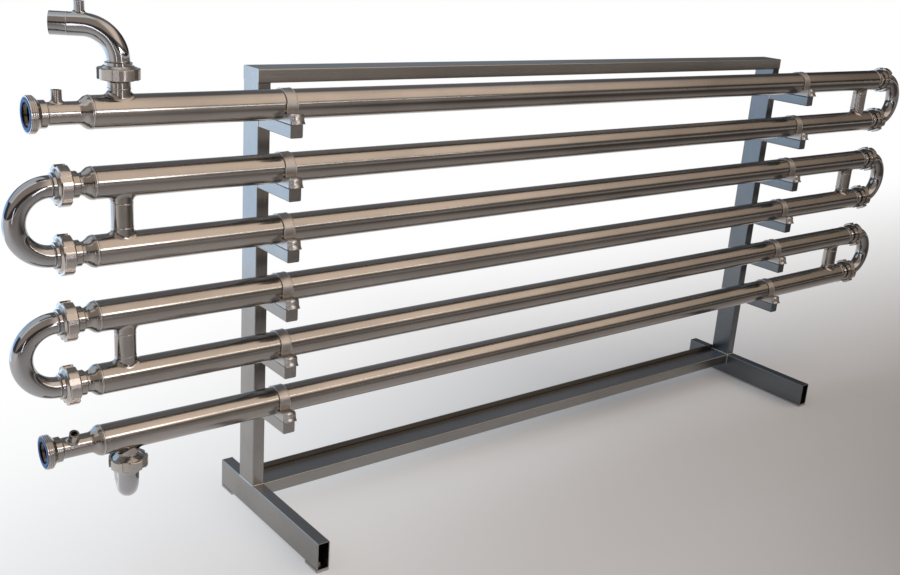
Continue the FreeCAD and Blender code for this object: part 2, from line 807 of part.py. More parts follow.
def arm_form():
    """Square box arm along -Y from the post's front, closed at its front end."""
    body = new_body("arm_form")
    square = new_sketch(body, "square")
    add_rectangle(square, "arm_size / 2", "arm_size / 2")
    reach = "post_front + arm_reach"
    round_long_edges(body, pad(body, square, "arm", reach), Vector(0, 1, 0))
    inside = new_sketch(body, "inside")
    half = "arm_size / 2 - frame_wall"
    add_rectangle(inside, half, half)
    pocket(body, inside, "hollow", reach + " - frame_wall", reverse=True)
    hole = new_sketch(body, "screw_hole", "XY_Plane")
    add_circle(hole, "0", SCREW_Y + " - post_front", "screw_radius + fit_gap")
    body.Tip = pocket(body, hole, "hole", "arm_size", reverse=True)
    return body


def saddle_form():
    """Block on the arm that holds the tube; x = y = 0 is on the tube's axis."""
    block = doc.addObject("Part::Box", "saddle_block")
    for name, formula in (
        ("Length", "saddle_width"),
        ("Width", "saddle_front + shell_radius - fit_gap"),
        ("Height", ARM_TOP + " - saddle_ledge"),
    ):
        setattr(block, name, amount(formula))
        block.setExpression(name, bound(formula))
    place(block, "0 - saddle_width / 2", "0 - saddle_front", minus(ARM_TOP))
    tube = doc.addObject("Part::Cylinder", "saddle_seat")
    tube.Radius = amount("shell_radius + fit_gap")
    tube.setExpression("Radius", bound("shell_radius + fit_gap"))
    tube.Height = amount("2 * saddle_width")
    tube.setExpression("Height", bound("2 * saddle_width"))
    place(tube, "0 - saddle_width", "0", "0", Rotation(Vector(0, 1, 0), 90))
    return cut("saddle_form", block, tube)


def strap_form():
    """Flat band over the tube with a rear foot and a turned-down front flange."""
    inner = amount("shell_radius + fit_gap")
    thick = size("strap_thickness")
    outer = inner + thick
    base = -amount(ARM_TOP)
    ledge = -size("saddle_ledge")
    front = -amount("saddle_front + fit_gap")
    foot = inner + thick + size("strap_foot")
    leave_inner = -(inner ** 2 - ledge ** 2) ** 0.5
    leave_outer = -(outer ** 2 - (ledge + thick) ** 2) ** 0.5

    def spot(across, up):
        return Vector(0, across, up)

    def straight(*spots):
        return [Part.LineSegment(a, b).toShape() for a, b in zip(spots, spots[1:])]

    over_inside = Part.Arc(spot(inner, 0), spot(0, inner), spot(leave_inner, ledge))
    over_outside = Part.Arc(spot(leave_outer, ledge + thick), spot(0, outer), spot(outer, 0))
    edges = straight(spot(foot, base + thick), spot(foot, base), spot(inner, base), spot(inner, 0))
    edges.append(over_inside.toShape())
    edges += straight(
        spot(leave_inner, ledge),
        spot(front, ledge),
        spot(front, base),
        spot(front - thick, base),
        spot(front - thick, ledge + thick),
        spot(leave_outer, ledge + thick),
    )
    edges.append(over_outside.toShape())
    edges += straight(spot(outer, 0), spot(outer, base + thick), spot(foot, base + thick))
    band = Part.Face(Part.Wire(edges)).extrude(Vector(size("strap_tab_width"), 0, 0))
    band.translate(Vector(-amount("strap_tab_width / 2"), 0, 0))
    spare = amount("strap_tab_width / 2 - strap_width / 2") + thick
    for edge_x in (-amount("strap_tab_width / 2") - thick, amount("strap_width / 2")):
        corner = Vector(edge_x, leave_outer - thick, base - foot / 2)
        band = band.cut(Part.makeBox(spare, 2 * foot, 2 * foot, corner))
    turned = [
        edge for edge in band.Edges
        if abs(edge.CenterOfMass.y - (front - thick)) < 0.01
        and abs(edge.CenterOfMass.z - (ledge + thick)) < 0.01
    ]
    band = band.makeFillet(2 * thick, turned)
    hole = Part.makeCylinder(size("screw_radius"), 4 * thick)
    hole.translate(Vector(0, amount(SCREW_Y), base - thick))
    return band.cut(hole)


def hex_screw(radius, head, head_height, length):
    """Hexagon screw along -Z; z = 0 is under the head."""
    corners = []
    for index in range(7):
        turn = Rotation(Vector(0, 0, 1), 60 * index)
        corners.append(turn.multVec(Vector(2 * head / 3 ** 0.5, 0, 0)))
    top = Part.Face(Part.makePolygon(corners)).extrude(Vector(0, 0, head_height))
    shank = Part.makeCylinder(radius, length, Vector(0, 0, -length))
    return top.fuse(shank)


def clamp_places(side, along, below):
    """One place per module on the post at 'side', from the tube's axis."""
    turn = Rotation()
    spots = []
    for number in range(1, COUNT + 1):
        height = amount(axis_height(number)) - amount(below)
        spots.append((Vector(amount(side), amount(along), height), turn))
    return spots


# All nodes

for number in range(1, COUNT + 1):
    parts.append(shell(number))
    parts.append(tube_bundle(number))
    parts.append(header(number, False))
    parts.append(header(number, True))

for upper in range(1, COUNT):
    parts.append(jumper(upper))
    at_right = upper % 2 == 1
    side_name = "right" if at_right else "left"
    parts.append(return_bend("bend_%s_%d_%d" % (side_name, upper, upper + 1), upper, at_right))

parts.append(nozzle("nozzle_top", 1, "nozzle_neck_top", Rotation()))
parts.append(nozzle("nozzle_bottom", COUNT, "nozzle_neck_bottom", TURN_ABOUT_X))

union_reach = amount("taper_length + thread_length + seal_thickness + " + LINER_LENGTH)
top_start = amount(axis_height(1) + " + nozzle_neck_top") + union_reach
low_start = amount(axis_height(COUNT) + " - nozzle_neck_bottom") - union_reach
top_turn = Rotation(Vector(0, 0, 1), -size("elbow_swing_top"))
low_turn = Rotation(Vector(0, 0, 1), -90 - size("elbow_swing_bottom")).multiply(TURN_ABOUT_X)
for label, with_boss, height, turn in (
    ("elbow_top", True, top_start, top_turn),
    ("elbow_bottom", False, low_start, low_turn),
):
    item = elbow(label, with_boss)
    stand = Vector(amount(LEFT_BRANCH), amount(TUBE_Y), height)
    offset = turn.multVec(Vector(size("elbow_radius"), 0, 0))
    item.Placement = FreeCAD.Placement(stand - offset, turn)
    parts.append(item)

nut = nut_form()
doc.recompute()
seal = seal_form()
for side_name, right_end in (("left", False), ("right", True)):
    places = union_places(right_end)
    parts.append(shape_node("union_nuts_" + side_name, copies(nut.Shape, places)))
    parts.append(shape_node("union_seals_" + side_name, copies(seal, places)))

parts.append(top_rail())
parts.append(base_beam())
parts.append(rear_bar())

arm = arm_form()
saddle = saddle_form()
doc.recompute()
strap = strap_form()
screw_sizes = ("screw_radius", "screw_head", "screw_head_height", "screw_length")
screw = hex_screw(*[size(name) for name in screw_sizes])
for side_name, side in (("left", "0 - post_x"), ("right", "post_x")):
    parts.append(post("post_" + side_name, side))
    parts.append(foot("foot_" + side_name, side))
    arm_places = clamp_places(side, "post_front - tube_plane", ARM_TOP + " + arm_size / 2")
    parts.append(shape_node("arms_" + side_name, copies(arm.Shape, arm_places)))
    on_axis = clamp_places(side, TUBE_Y, "0")
    parts.append(shape_node("saddles_" + side_name, copies(saddle.Shape, on_axis)))
    parts.append(shape_node("straps_" + side_name, copies(strap, on_axis)))
    head_places = clamp_places(side, SCREW_Y + " - tube_plane", ARM_TOP + " - strap_thickness")
    parts.append(shape_node("strap_screws_" + side_name, copies(screw, head_places)))

plate = Part.makeBox(size("post_width"), size("pad_length"), size("pad_height"))
plate.translate(Vector(-amount("post_width / 2"), -amount("pad_length / 2"), 0))
plate = plate.cut(Part.makeCylinder(amount("pad_screw_radius + fit_gap"), size("pad_height")))
pad_names = ("pad_screw_radius", "pad_screw_head", "pad_screw_head_height", "pad_height")
pad_screw = hex_screw(*[size(name) for name in pad_names])
corner_places = []
head_places = []
for side in (-size("post_x"), size("post_x")):
    for way in (-1, 1):
        along = way * amount("foot_length / 2 - pad_length / 2")
        corner_places.append((Vector(side, along, 0), Rotation()))
        lift = amount("pad_height + frame_wall")
        head_places.append((Vector(side, along, lift), Rotation()))
parts.append(shape_node("foot_pads", copies(plate, corner_places)))
parts.append(shape_node("pad_screws", copies(pad_screw, head_places)))

# Check and write

doc.recompute()
for item in doc.Objects:
    if "Invalid" in item.State or "Error" in item.State:
        raise RuntimeError("%s failed to build" % item.Label)
os.makedirs("parts", exist_ok=True)
for item in parts:
    shape = item.Shape
    if shape.isNull() or not shape.isValid() or not shape.Solids:
        raise RuntimeError("%s has no valid solid" % item.Label)
for item in parts:
    item.Shape.exportStep("parts/%s.step" % item.Label)
print("%d nodes written" % len(parts))
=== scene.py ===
"""Looks of the stainless shell and tube heat exchanger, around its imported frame."""
import math
import random

import bpy
import bmesh
from mathutils import Matrix, Vector


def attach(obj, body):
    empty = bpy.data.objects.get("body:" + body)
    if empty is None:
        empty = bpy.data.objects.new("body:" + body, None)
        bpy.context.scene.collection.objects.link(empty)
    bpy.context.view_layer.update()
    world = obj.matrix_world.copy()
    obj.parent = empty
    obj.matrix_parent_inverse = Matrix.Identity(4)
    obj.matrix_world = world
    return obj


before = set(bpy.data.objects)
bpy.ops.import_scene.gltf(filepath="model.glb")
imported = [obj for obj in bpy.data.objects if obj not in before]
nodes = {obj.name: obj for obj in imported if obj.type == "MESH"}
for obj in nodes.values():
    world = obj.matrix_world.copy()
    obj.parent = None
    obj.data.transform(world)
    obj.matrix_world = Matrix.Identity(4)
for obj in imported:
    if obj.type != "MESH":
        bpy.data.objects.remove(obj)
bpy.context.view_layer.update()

# Camera: place, direction and focal length that give the photograph's view
CAMERA_PLACE = Vector((-1.9375, -1.8947, 1.2995))
CAMERA_YAW = 39.225        # degrees from +Y towards +X
CAMERA_PITCH = 18.077      # degrees below the horizon
CAMERA_ROLL = 4.242        # degrees
FOCAL_PIXELS = 1076.9
PICTURE_WIDTH = 900        # pixels
SENSOR_WIDTH = 36.0        # millimetres
CAMERA_REACH = 1000.0

# Floor: size, linear colour, and share of its colour that is left in the pool of painted shade
FLOOR_RADIUS = 400
FLOOR_COLOUR = (0.78, 0.79, 0.81, 1)
FLOOR_MOTTLE = 0.985            # share of its colour in the darkest spots
PAINTED_SHADE_SHARE = 0.25
# Floor behind the object that turns white: direction, and where that starts and ends
WHITE_BEHIND = ((-0.469, 0.883, 0), -0.45, 1.5)
WHITE_BEYOND = ((0, 1, 0), -0.3, 1.8)
# Soft pools on the floor: centre, reach along X and Y, and share of it that is full
NEAR_POOL = ((0, 0, 0), (50, 50), 0.4)
GREY_POOL = ((-2.9, 3.0, 0), (2.0, 2.0), 0.3)
# Painted shade: in this pool the floor's colour is darkened, so the tubes' undersides mirror a
# dim floor
PAINTED_SHADE_POOL = ((2.8, -1.9, 0), (4.2, 2.1), 0.35)

# Light from above, by the angle in degrees about the X axis from the horizon in front
SKY_STRENGTH = 1.5
SKY = [
    (0, (0.13, 0.12, 0.11, 1)),
    (19, (0.14, 0.13, 0.12, 1)),
    (27, (0.92, 0.78, 0.66, 1)),
    (60, (0.95, 0.80, 0.66, 1)),
    (92, (0.70, 0.62, 0.56, 1)),
    (104, (0.16, 0.15, 0.15, 1)),
    (140, (0.14, 0.15, 0.17, 1)),
    (180, (0.20, 0.24, 0.28, 1)),
]
# What that light is multiplied by, from the left end of the sky at 0 to the right end at 1
SKY_FADE = [
    (0.00, (0.35, 0.35, 0.36, 1)),
    (0.52, (0.35, 0.35, 0.36, 1)),
    (0.66, (1.00, 1.00, 1.00, 1)),
    (0.83, (1.00, 1.00, 1.00, 1)),
    (0.885, (0.50, 0.49, 0.48, 1)),
    (0.925, (0.20, 0.195, 0.19, 1)),
]

# Lamps: place, aim, width, height, power, colour, and whether steel mirrors them
PLAIN = (1.0, 1.0, 1.0)
DAYLIGHT = (0.86, 0.94, 1.0)
LAMPS = {
    "ceiling": ((-3.8, 2.4, 3.6), (-3.8, 2.4, 0), 6.0, 6.0, 100, DAYLIGHT, True),
    "backdrop": ((1.5, 1.6, 2.8), (2.5, 4.5, 0), 5.0, 0.8, 50, DAYLIGHT, False),
    "window": ((-1.9, 1.35, 0.62), (-0.9, 0, 0.62), 1.7, 1.2, 8.5, (0.38, 0.66, 1.0), True),
    "strip_near": ((-0.72, -1.40, 1.22), (-0.72, 0, 0.7), 0.44, 0.20, 1.9, PLAIN, True),
    "strip_middle": ((-0.20, -1.40, 1.25), (-0.20, 0, 0.7), 0.60, 0.05, 0.6, PLAIN, True),
    "strip_far": ((0.45, -1.40, 1.26), (0.45, 0, 0.7), 0.70, 0.035, 0.45, PLAIN, True),
    "bend_strip": (
        (-0.80, -2.2, 0.78), (-1.38, 0, 0.78), 0.10, 0.8, 1.6, (0.90, 0.88, 1.0), True
    ),
    "bend_strip_side": (
        (-2.9, -2.4, 0.80), (-1.38, 0, 0.8), 0.12, 0.9, 1.5, (0.86, 0.90, 1.0), True
    ),
}


# Node helpers

def new_tree(owner):
    """Empty node tree of a material or the world."""
    owner.use_nodes = True
    owner.node_tree.nodes.clear()
    return owner.node_tree


def node(tree, kind, **settings):
    """New shader node; settings name its properties, or its inputs by label."""
    made = tree.nodes.new("ShaderNode" + kind)
    for key, value in settings.items():
        if hasattr(made, key):
            setattr(made, key, value)
        else:
            made.inputs[key.replace("_", " ")].default_value = value
    return made


def feed(tree, made, *values):
    """Give a node's inputs, in their order, other nodes' outputs or plain values."""
    for socket, value in zip(made.inputs, values):
        if isinstance(value, bpy.types.NodeSocket):
            tree.links.new(value, socket)
        else:
            socket.default_value = value
    return made


def maths(tree, operation, *values):
    return feed(tree, node(tree, "Math", operation=operation), *values).outputs["Value"]


def vector(tree, operation, output, *values):
    return feed(tree, node(tree, "VectorMath", operation=operation), *values).outputs[output]


def combine(tree, operation, *factors):
    """One factor from several, two at a time."""
    result = factors[0]
    for factor in factors[1:]:
        result = maths(tree, operation, result, factor)
    return result


def noise(tree, stretch, detail=3.0, roughness=0.5):
    """Noise in object coordinates, stretched along each axis."""
    place = node(tree, "TexCoord")
    mapping = node(tree, "Mapping", Scale=stretch)
    texture = node(tree, "TexNoise", Scale=1.0, Detail=detail, Roughness=roughness)
    tree.links.new(place.outputs["Object"], mapping.inputs["Vector"])
    tree.links.new(mapping.outputs["Vector"], texture.inputs["Vector"])
    return texture.outputs["Fac"]


def ramp(tree, factor, stops):
    """Colour ramp with stops given as (place, colour) pairs."""
    made = node(tree, "ValToRGB")
    elements = made.color_ramp.elements
    elements[0].position, elements[0].color = stops[0]
    elements[1].position, elements[1].color = stops[-1]
    for place, colour in stops[1:-1]:
        elements.new(place).color = colour
    tree.links.new(factor, made.inputs["Fac"])
    return made.outputs["Color"]


def span(tree, factor, low, high):
    """Factor from 0..1 mapped to low..high."""
    made = node(tree, "MapRange", To_Min=low, To_Max=high)
    tree.links.new(factor, made.inputs["Value"])
    return made.outputs["Result"]


def show(tree, surface, kind="OutputMaterial"):
    """Use a shader's output as the surface of the material, or as the world's light."""
    tree.links.new(surface, node(tree, kind).inputs["Surface"])


def shade(colour, factor):
    return tuple(channel * factor for channel in colour[:3]) + (1,)


# Finishes

# Stretch along X, Y and Z of a steel's patches and waves, and of rubber's mottle
PATCH = (3, 9, 9)
SWELL = (16, 16, 16)
MOTTLE = (60, 60, 60)
SMEAR = 0.15                    # a smear's stretch, as a share of the grain's
POLISH_SPAN = (0.7, 1.35)       # shares of its roughness between which steel varies
GRAIN_DEPTH = 0.0002
RUBBER_ROUGH = 0.55


def steel(name, colour, rough, grain, grain_strength, blotch=0.12, wave=0):
    """Brushed or polished steel: fine grain, uneven polish, faint patches and long waves."""
    material = bpy.data.materials.new(name)
    tree = new_tree(material)
    shader = node(tree, "BsdfPrincipled", Metallic=1.0)
    show(tree, shader.outputs["BSDF"])
    patches = noise(tree, PATCH, detail=4.0, roughness=0.6)
    tone = ramp(tree, patches, [
        (0.30, shade(colour, 1 - blotch)),
        (0.55, colour),
        (0.80, shade(colour, 1 + blotch * 0.5)),
    ])
    tree.links.new(tone, shader.inputs["Base Color"])
    streaks = noise(tree, grain, detail=2.0)
    smears = noise(tree, tuple(SMEAR * amount for amount in grain), detail=5.0, roughness=0.6)
    polish = span(tree, smears, *[rough * share for share in POLISH_SPAN])
    tree.links.new(polish, shader.inputs["Roughness"])
    bump = node(tree, "Bump", Strength=grain_strength, Distance=GRAIN_DEPTH)
    tree.links.new(streaks, bump.inputs["Height"])
    if wave:
        swell = node(tree, "Bump", Strength=1.0, Distance=wave)
        tree.links.new(noise(tree, SWELL, detail=1.0), swell.inputs["Height"])
        tree.links.new(swell.outputs["Normal"], bump.inputs["Normal"])
    tree.links.new(bump.outputs["Normal"], shader.inputs["Normal"])
    return material


def rubber(name, colour):
    """Dull rubber with a fine mottle."""
    material = bpy.data.materials.new(name)
    tree = new_tree(material)
    shader = node(tree, "BsdfPrincipled", Roughness=RUBBER_ROUGH)
    show(tree, shader.outputs["BSDF"])
    mottle = noise(tree, MOTTLE, detail=4.0)
    tone = ramp(tree, mottle, [(0.3, shade(colour, 0.7)), (0.7, shade(colour, 1.3))])
    tree.links.new(tone, shader.inputs["Base Color"])
    return material


# Each steel's colour, roughness, and grain: stretch along X, Y and Z, and strength
SATIN = steel("satin_shell", (0.37, 0.34, 0.315, 1), 0.165, (900, 6, 6), 0.22, blotch=0.2)
POLISHED = steel("polished_bend", (0.37, 0.36, 0.36, 1), 0.08, (120, 120, 120), 0.05, wave=0.0022)
TURNED = steel("turned_union", (0.46, 0.42, 0.385, 1), 0.22, (300, 30, 30), 0.15)
# Painted shadow: the rear bar along the base beam's back is a dark strip that stands for the
# shadow line there
SHADOW_LINE_BAR = steel("dark_bar", (0.16, 0.15, 0.14, 1), 0.35, (8, 500, 500), 0.25)
BAND = steel("strap_band", (0.46, 0.425, 0.40, 1), 0.38, (400, 40, 40), 0.2)
SCREW = steel("screw_steel", (0.42, 0.40, 0.38, 1), 0.25, (300, 300, 300), 0.1)
WELD = steel("weld_bead", (0.50, 0.47, 0.45, 1), 0.26, (500, 500, 500), 0.3)
FRAME_WELD = steel("frame_weld", (0.62, 0.60, 0.58, 1), 0.32, (500, 500, 500), 0.3)
# The flange steel also makes the rods of painted highlight along the clamps' edges
FLANGE = steel("polished_flange_and_edge_highlight", (0.60, 0.58, 0.57, 1), 0.32, (60, 400, 60), 0.2)
SEAL = rubber("seal_rubber", (0.05, 0.05, 0.06, 1))
PORT_SEAL = rubber("port_seal_rubber", (0.012, 0.11, 0.36, 1))

# Box sections are brushed along their length
FRAME_COLOUR = (0.31, 0.295, 0.28, 1)
# Painted shade: the right post, foot and arms get a darker copy of the same brushed steel
SHADED_FRAME_COLOUR = (0.17, 0.18, 0.19, 1)
BRUSHED = {"x": (8, 700, 700), "y": (700, 8, 700), "z": (700, 700, 8)}
SECTION_X, SECTION_Y, SECTION_Z = [
    steel("section_along_" + axis, FRAME_COLOUR, 0.28, BRUSHED[axis], 0.25) for axis in "xyz"
]
SHADED_SECTION_Y, SHADED_SECTION_Z = [
    steel("shaded_section_along_" + axis, SHADED_FRAME_COLOUR, 0.30, BRUSHED[axis], 0.25) for axis in "yz"
]

# Finish of each node, by the start of its name: the first that fits is taken
MATERIALS = [
    ("shell", SATIN), ("header", SATIN), ("jumper", SATIN), ("nozzle", SATIN),
    ("tube_bundle", TURNED), ("bend", POLISHED), ("elbow", POLISHED),
    ("union_nuts", TURNED), ("union_seals", SEAL),
    ("top_rail", SECTION_X), ("base_beam", SECTION_X), ("rear_bar", SHADOW_LINE_BAR),
    # post_right, foot_right and arms_right take the darker copy of the frame steel: painted shade
    ("post_right", SHADED_SECTION_Z), ("post", SECTION_Z), ("foot_pads", BAND),
    ("foot_right", SHADED_SECTION_Y), ("foot", SECTION_Y), ("arms_right", SHADED_SECTION_Y), ("arms", SECTION_Y),
    ("saddles", BAND), ("straps", BAND), ("strap_screws", SCREW), ("pad_screws", SCREW),
]

for name, thing in nodes.items():
    material = next(finish for start, finish in MATERIALS if name.startswith(start))
    for holder in thing.material_slots:
        holder.link = "OBJECT"
        holder.material = material


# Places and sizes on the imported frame, in metres

UP = Vector((0, 0, 1))
ALONG = Vector((1, 0, 0))
BACK = Vector((0, 1, 0))

TUBE_Y = -0.015                 # plane of the tubes
TOP_AXIS = 0.958                # height of the highest tube's axis
SPACING = 0.128                 # from one axis to the next
MODULES = 6
AXES = [TOP_AXIS - SPACING * step for step in range(MODULES)]
OPEN_PORTS = ((-1, 0), (-1, MODULES - 1))   # side and module
SHELL_END = 1.253
SHELL = 0.03015                 # outer radius
PIPE = 0.0205                   # outer radius
BRANCH_X = 1.1975
COLLAR_END = 0.041              # from the shell's axis
NECK = 1.278
PORT_NECK = 1.3285
LINER_X = 1.329

ELBOW_LINERS = (1.047, 0.238)   # heights
ELBOW_LEG_HEIGHTS = (1.107, 0.178)
LEG_SEAM = 0.084                # from the elbow's upright axis
SWING_TOP = math.radians(28)    # from -X towards the back
SWING_BOTTOM = math.radians(16.5)   # from the back towards +X
ELBOW_WAYS = (
    Vector((-math.cos(SWING_TOP), math.sin(SWING_TOP), 0)),
    Vector((math.sin(SWING_BOTTOM), math.cos(SWING_BOTTOM), 0)),
)

THREAD_START = 1.3522
THREAD_PITCH = 0.0036
THREAD_TURNS = 3
THREAD = 0.0325                 # outer radius
PORT_FACE = 1.3625
PORT_SEAL_RADIUS = 0.0258

POST_X = 0.860
POST_Y = 0.0995
POST = (0.0145, 0.0325)         # half width and half depth
FOOT_TOP = 0.071
BEAM_END = 0.8455
BEAM = (0.0325, 0.0155)         # half depth and half height
ARM = 0.014                     # half width
ARM_TOP = 0.03165               # below the tube's axis
ARM_BACK = 0.067
SECTION_CORNER = 0.003

# Strap flange in a plane across the tube, from the tube's axis
FLANGE_LINE = [
    (-0.0440, -0.0122), (-0.0468, -0.0124), (-0.0492, -0.0134), (-0.0507, -0.0152),
    (-0.0513, -0.0178), (-0.0515, -0.0205), (-0.0520, -0.0232), (-0.0531, -0.0260),
    (-0.0549, -0.0286), (-0.0572, -0.0308),
]
FLANGE_THICK = 0.0012
FLANGE_HALF = 0.0142            # half width
FLANGE_EDGE = 0.0004            # width of its rounded edges
SHARP = math.radians(60)        # least angle of an edge that is rounded
SADDLE_HALF = 0.0135            # half width
SADDLE_FRONT = -0.0470          # from the tube's axis
SADDLE_LEDGE = -0.0150          # from the tube's axis
SEAT = 0.0304                   # radius of the saddle's edge round the tube
BAND_HALF = 0.0112              # half width
BAND_TOP = 0.0323               # radius of the band's edge round the tube
BAND_TURN = (-25, 180)          # degrees that it covers, from the front over the top
CLAMPS = [(side * POST_X, height) for side in (-1, 1) for height in AXES]

# Beads: half width, height and share by which they vary
SHELL_BEAD = (0.0024, 0.0008, 0.05)
NECK_BEAD = (0.0013, 0.0004, 0.08)
BRANCH_BEAD = (0.0014, 0.0004, 0.16)
LINER_BEAD = (0.0012, 0.00035, 0.08)
FRAME_BEAD = (0.0016, 0.0012, 0.16)
THREAD_RIDGE = (0.0011, 0.0009, 0)
SEAL_RING = (0.0010, 0.0044, 0)
# Rods along the clamps' edges, which carry painted highlights
EDGE_HIGHLIGHT_ROD = (0.0006, 0.0006, 0)
RIPPLE_STEP = 2.1               # radians from point to point of a bead's swelling
DRIFT_STEP = 0.37               # and of its wandering from the seam

# Points round a circle and round a bead, and along the corners and sides of a section
CIRCLE_POINTS = 96
BEAD_POINTS = 8
CORNER_STEPS = 4
SIDE_SPACING = 0.002
SEAT_STEPS = 12
BAND_STEPS = 40


# Added pieces

def sweep(mesh, path, across, bead, chance, closed=True):
    """Tube of flat oval section along a path, rippled as a weld bead is."""
    width, height, ripple = bead
    count = len(path)
    rings = []
    for index, point in enumerate(path):
        after = path[(index + 1) % count] if closed or index + 1 < count else point
        before = path[index - 1] if closed or index else point
        ahead = (after - before).normalized()
        out = ahead.cross(across).normalized()
        swell = 1 + ripple * math.sin(index * RIPPLE_STEP) + ripple * chance.uniform(-1, 1)
        drift = ripple * width * math.sin(index * DRIFT_STEP)
        ring = []
        for step in range(BEAD_POINTS):
            angle = step * math.tau / BEAD_POINTS
            offset = across * (width * swell * math.cos(angle) + drift)
            offset += out * (height * swell * math.sin(angle))
            ring.append(mesh.verts.new(point + offset))
        rings.append(ring)
    following = rings[1:] + rings[:1] if closed else rings[1:]
    for ring, after in zip(rings, following):
        for step in range(BEAD_POINTS):
            beyond = (step + 1) % BEAD_POINTS
            mesh.faces.new((ring[step], ring[beyond], after[beyond], after[step]))
    if not closed:
        mesh.faces.new(rings[0])
        mesh.faces.new(reversed(rings[-1]))


def circle(centre, axis, radius):
    """Points round a circle."""
    start = axis.orthogonal().normalized()
    other = axis.cross(start)
    turns = [index * math.tau / CIRCLE_POINTS for index in range(CIRCLE_POINTS)]
    return [centre + radius * (math.cos(turn) * start + math.sin(turn) * other) for turn in turns]


def rectangle(centre, first, second, half_first, half_second):
    """Points round a box section with rounded corners."""
    corner = SECTION_CORNER
    path = []
    for quarter, (a, b) in enumerate(((1, 1), (-1, 1), (-1, -1), (1, -1))):
        middle = centre + first * a * (half_first - corner) + second * b * (half_second - corner)
        for step in range(CORNER_STEPS + 1):
            turn = math.radians((quarter + step / CORNER_STEPS) * 90)
            path.append(middle + corner * (math.cos(turn) * first + math.sin(turn) * second))
    dense = []
    for index, point in enumerate(path):
        after = path[(index + 1) % len(path)]
        parts = max(1, round((after - point).length / SIDE_SPACING))
        dense += [point.lerp(after, part / parts) for part in range(parts)]
    return dense


def add_piece(name, build, material):
    """New mesh piece on the root body, made by a function that fills a bmesh."""
    mesh = bmesh.new()
    build(mesh)
    bmesh.ops.recalc_face_normals(mesh, faces=mesh.faces)
    data = bpy.data.meshes.new(name)
    mesh.to_mesh(data)
    mesh.free()
    data.shade_smooth()
    data.materials.append(material)
    piece = bpy.data.objects.new(name, data)
    bpy.context.scene.collection.objects.link(piece)
    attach(piece, "root")


def rings_builder(rings, bead, seed):
    """Builder of a bead round each given circle: centre, axis and radius."""
    def build(mesh):
        chance = random.Random(seed)
        for centre, axis, radius in rings:
            path = circle(Vector(centre), axis, radius)
            sweep(mesh, path, axis, bead, chance)
    return build


def add_pipe_welds():
    """Beads at the shells' ends, the necks, the branches and the bends' liners."""
    ends = [(side, number) for side in (-1, 1) for number in range(MODULES)]
    shells = [((side * SHELL_END, TUBE_Y, AXES[number]), ALONG, SHELL) for side, number in ends]
    add_piece("welds_shell_ends", rings_builder(shells, SHELL_BEAD, 1), WELD)
    necks = []
    liners = []
    for side, number in ends:
        neck = PORT_NECK if (side, number) in OPEN_PORTS else NECK
        necks.append(((side * neck, TUBE_Y, AXES[number]), ALONG, PIPE))
        if (side, number) not in OPEN_PORTS:
            liners.append(((side * LINER_X, TUBE_Y, AXES[number]), ALONG, PIPE))
    add_piece("welds_necks", rings_builder(necks, NECK_BEAD, 2), WELD)
    collars = [
        ((-BRANCH_X, TUBE_Y, AXES[0] + COLLAR_END), UP, PIPE),
        ((-BRANCH_X, TUBE_Y, AXES[-1] - COLLAR_END), UP, PIPE),
    ]
    for upper in range(MODULES - 1):
        side = BRANCH_X if upper % 2 == 0 else -BRANCH_X
        collars.append(((side, TUBE_Y, AXES[upper] - COLLAR_END), UP, PIPE))
        collars.append(((side, TUBE_Y, AXES[upper + 1] + COLLAR_END), UP, PIPE))
    add_piece("welds_branches", rings_builder(collars, BRANCH_BEAD, 3), WELD)
    for height in ELBOW_LINERS:
        liners.append(((-BRANCH_X, TUBE_Y, height), UP, PIPE))
    for height, way in zip(ELBOW_LEG_HEIGHTS, ELBOW_WAYS):
        liners.append((Vector((-BRANCH_X, TUBE_Y, height)) + LEG_SEAM * way, way, PIPE))
    add_piece("welds_liners", rings_builder(liners, LINER_BEAD, 4), WELD)


def add_port_details():
    """Ridges of the rounded threads and the blue seals of the two open ports."""
    ridges = []
    seals = []
    for _, number in OPEN_PORTS:
        for turn in range(THREAD_TURNS):
            place = -THREAD_START - turn * THREAD_PITCH
            ridges.append(((place, TUBE_Y, AXES[number]), ALONG, THREAD))
        seals.append(((-PORT_FACE, TUBE_Y, AXES[number]), ALONG, PORT_SEAL_RADIUS))
    add_piece("thread_ridges", rings_builder(ridges, THREAD_RIDGE, 5), TURNED)
    add_piece("port_seals", rings_builder(seals, SEAL_RING, 8), PORT_SEAL)


def add_frame_welds():
    """Beads where the stand's box sections meet."""
    frames = []
    for side in (-1, 1):
        frames.append(((side * POST_X, POST_Y, FOOT_TOP), ALONG, BACK, *POST))
        frames.append(((side * BEAM_END, POST_Y, FOOT_TOP - BEAM[1]), BACK, UP, *BEAM))
        for height in AXES:
            middle = height - ARM_TOP - ARM
            frames.append(((side * POST_X, ARM_BACK, middle), ALONG, UP, ARM, ARM))

    def build(mesh):
        chance = random.Random(6)
        for centre, first, second, half_first, half_second in frames:
            path = rectangle(Vector(centre), first, second, half_first, half_second)
            sweep(mesh, path, first.cross(second), FRAME_BEAD, chance)

    add_piece("welds_frame", build, FRAME_WELD)


